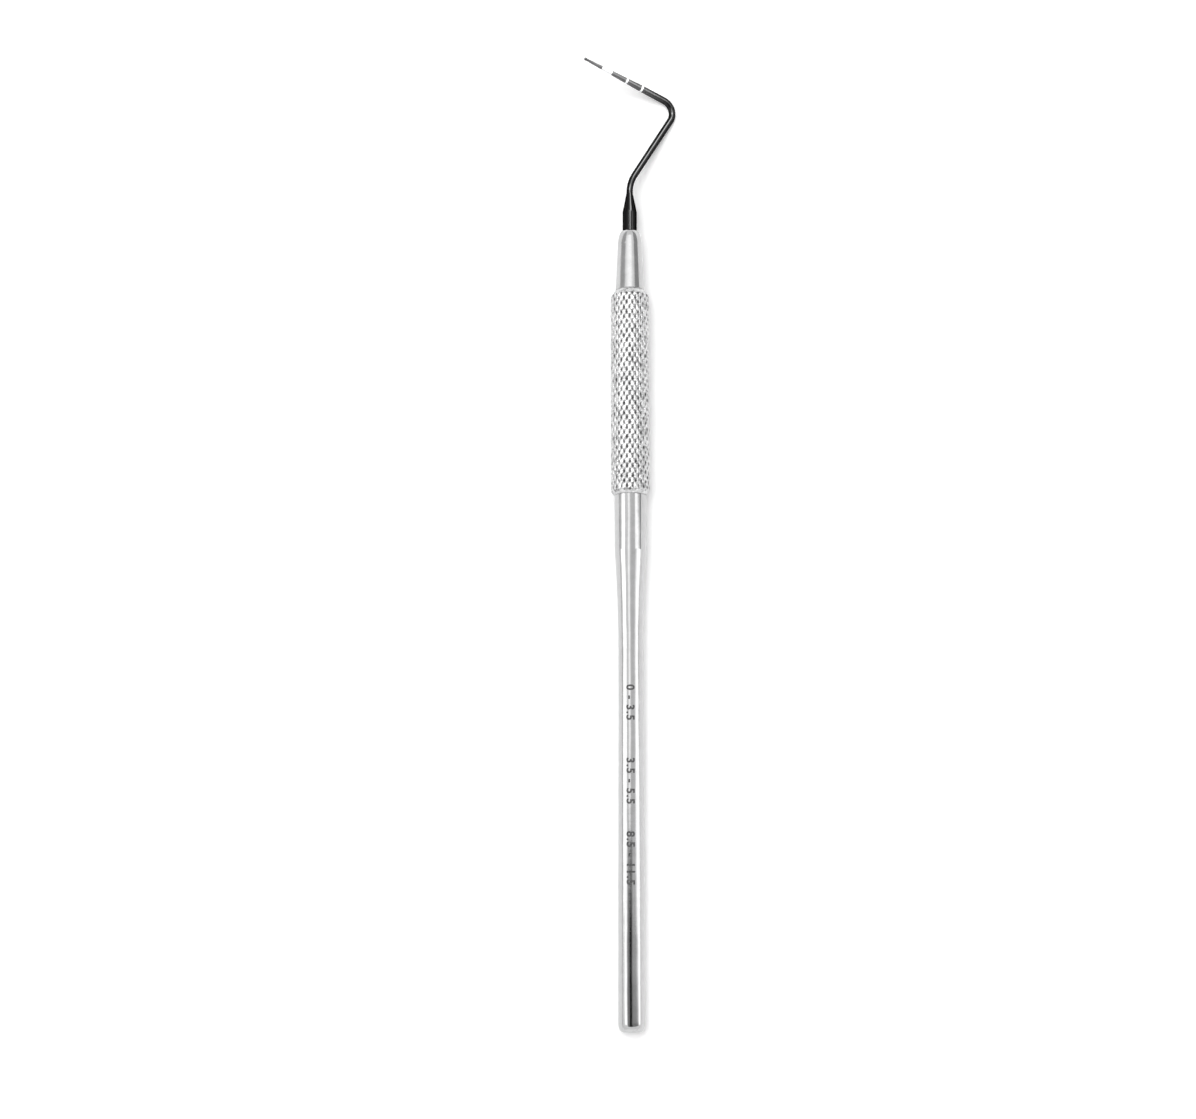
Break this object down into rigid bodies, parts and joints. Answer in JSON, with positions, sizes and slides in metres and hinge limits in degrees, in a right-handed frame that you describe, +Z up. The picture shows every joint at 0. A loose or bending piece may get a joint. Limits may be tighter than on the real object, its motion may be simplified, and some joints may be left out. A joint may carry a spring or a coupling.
{
  "type": "periodontal probe",
  "caption": "Slim single-ended metal hand instrument with a diamond-knurled grip, a plain tapered tail and a thin bent black measuring tip that ends in a tiny ball.",
  "frame": {"origin": "on the table, under the middle of the instrument's bounding box as it lies at rest", "axes": "+Y along the handle from the tail end to the working end, +X towards the side that the elbow points to, +Z up"},
  "size_m": [0.0158, 0.164, 0.0079],
  "materials": {
    "polished_steel": "bright turned and polished stainless steel",
    "knurled_steel": "diamond knurled stainless steel, polished after knurling",
    "black_coating": "thin glossy black coating on steel wire, ground off at the measuring marks"
  },
  "bodies": {
    "root": {"working_end": "black_coating", "nose_cone": "polished_steel", "knurled_grip": "knurled_steel", "rear_barrel": "polished_steel", "tail_plug": "polished_steel"}
  },
  "joints": []
}
